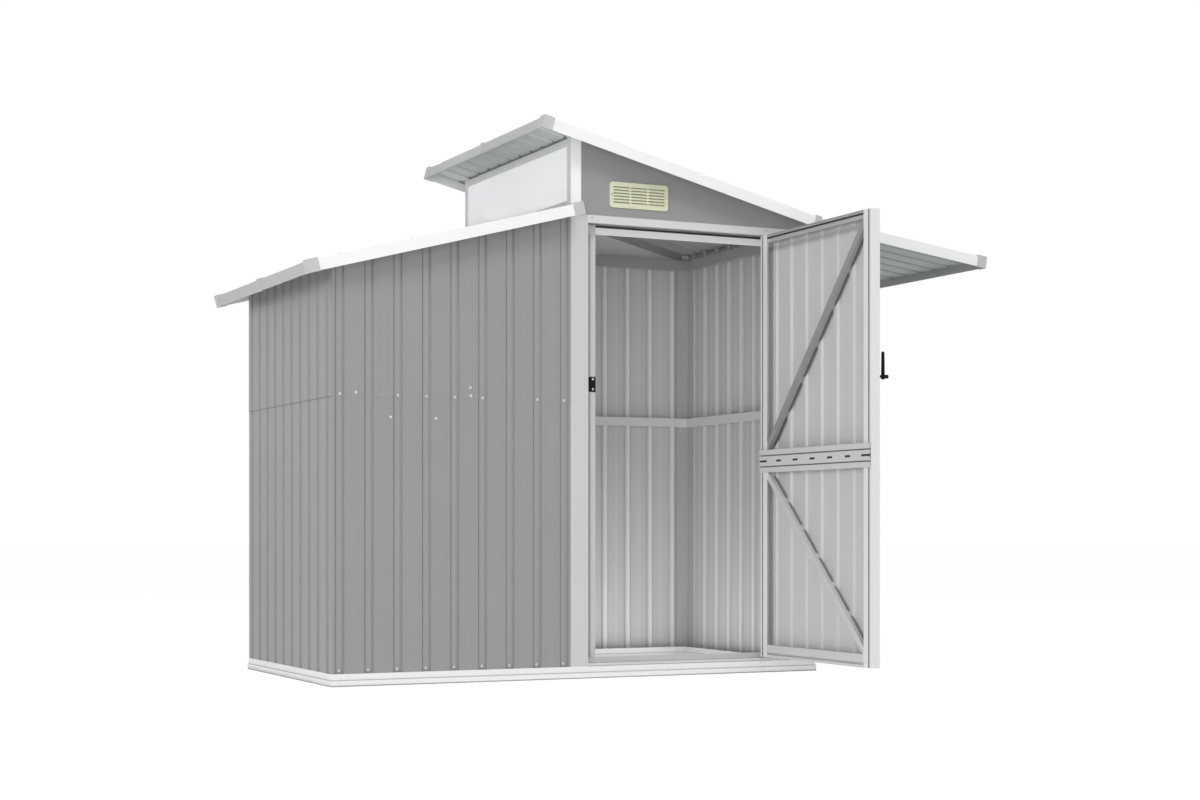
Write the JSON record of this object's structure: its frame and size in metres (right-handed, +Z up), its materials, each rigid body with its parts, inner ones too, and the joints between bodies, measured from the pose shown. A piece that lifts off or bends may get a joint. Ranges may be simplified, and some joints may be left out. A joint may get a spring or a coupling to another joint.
{
  "type": "metal storage shed",
  "caption": "Ribbed sheet-metal garden shed with a stepped double roof, a translucent clerestory strip, a side canopy and a hinged door with a turning lever.",
  "frame": {"origin": "middle of the four ground anchor holes, on the ground under the middle of the wall footprint", "axes": "+X right along the front seen from outside, +Y from the door front to the back, +Z up"},
  "size_m": [2.8989, 1.9275, 2.0866],
  "materials": {
    "wall_paint": "satin grey",
    "column_paint": "satin light grey",
    "trim_paint": "satin off-white",
    "roof_paint": "satin grey",
    "frame_steel": "satin grey",
    "door_frame_paint": "satin light grey",
    "door_paint": "satin light grey",
    "cap_plastic": "matt grey",
    "opal_panel": "opal translucent",
    "vent_plastic": "matt cream",
    "black_plastic": "satin black",
    "hinge_steel": "zinc plated"
  },
  "bodies": {
    "shed": {"front_wall_lower": "wall_paint", "front_wall_upper": "wall_paint", "front_strip": "wall_paint", "left_wall_lower": "wall_paint", "left_wall_upper": "wall_paint", "right_wall_lower": "wall_paint", "right_wall_upper": "wall_paint", "back_wall_lower": "wall_paint", "back_wall_upper": "wall_paint", "front_gable": "wall_paint", "back_gable": "wall_paint", "front_columns": "column_paint", "back_column": "column_paint", "door_header": "column_paint", "door_jambs": "column_paint", "door_sill": "column_paint", "clerestory_rails": "column_paint", "base_rail_front": "trim_paint", "base_rail_back": "trim_paint", "base_rail_left": "trim_paint", "base_rail_right": "trim_paint", "low_side_trims": "trim_paint", "low_end_trims": "trim_paint", "high_side_trims": "trim_paint", "high_end_trims": "trim_paint", "clerestory_posts": "trim_paint", "low_roof_sheet": "roof_paint", "high_roof_sheet": "roof_paint", "canopy_sheet": "roof_paint", "corner_posts": "frame_steel", "long_mid_rails": "frame_steel", "side_mid_rails": "frame_steel", "back_top_rail": "frame_steel", "side_top_rails": "frame_steel", "low_rafters": "frame_steel", "high_rafters": "frame_steel", "roof_caps": "cap_plastic", "clerestory_window": "opal_panel", "gable_vent": "vent_plastic", "strike_plate": "black_plastic", "frame_hinges": "hinge_steel"},
    "door": {"door_stiles": "door_frame_paint", "door_rails": "door_frame_paint", "door_mid_bar": "door_frame_paint", "door_braces": "door_frame_paint", "door_panel": "door_paint", "door_hinges": "hinge_steel", "handle_rose": "black_plastic"},
    "handle": {"door_handle": "black_plastic"}
  },
  "joints": [
    {"name": "door_swing", "type": "hinge", "parent": "shed", "child": "door", "pos_m": [0.7915, -0.5345, 0.9], "axis": [0, 0, 1], "range_deg": [-90, 60]},
    {"name": "handle_turn", "type": "hinge", "parent": "door", "child": "handle", "pos_m": [0.7855, -1.2835, 1.109], "axis": [-1, 0, 0], "range_deg": [0, 90]}
  ]
}
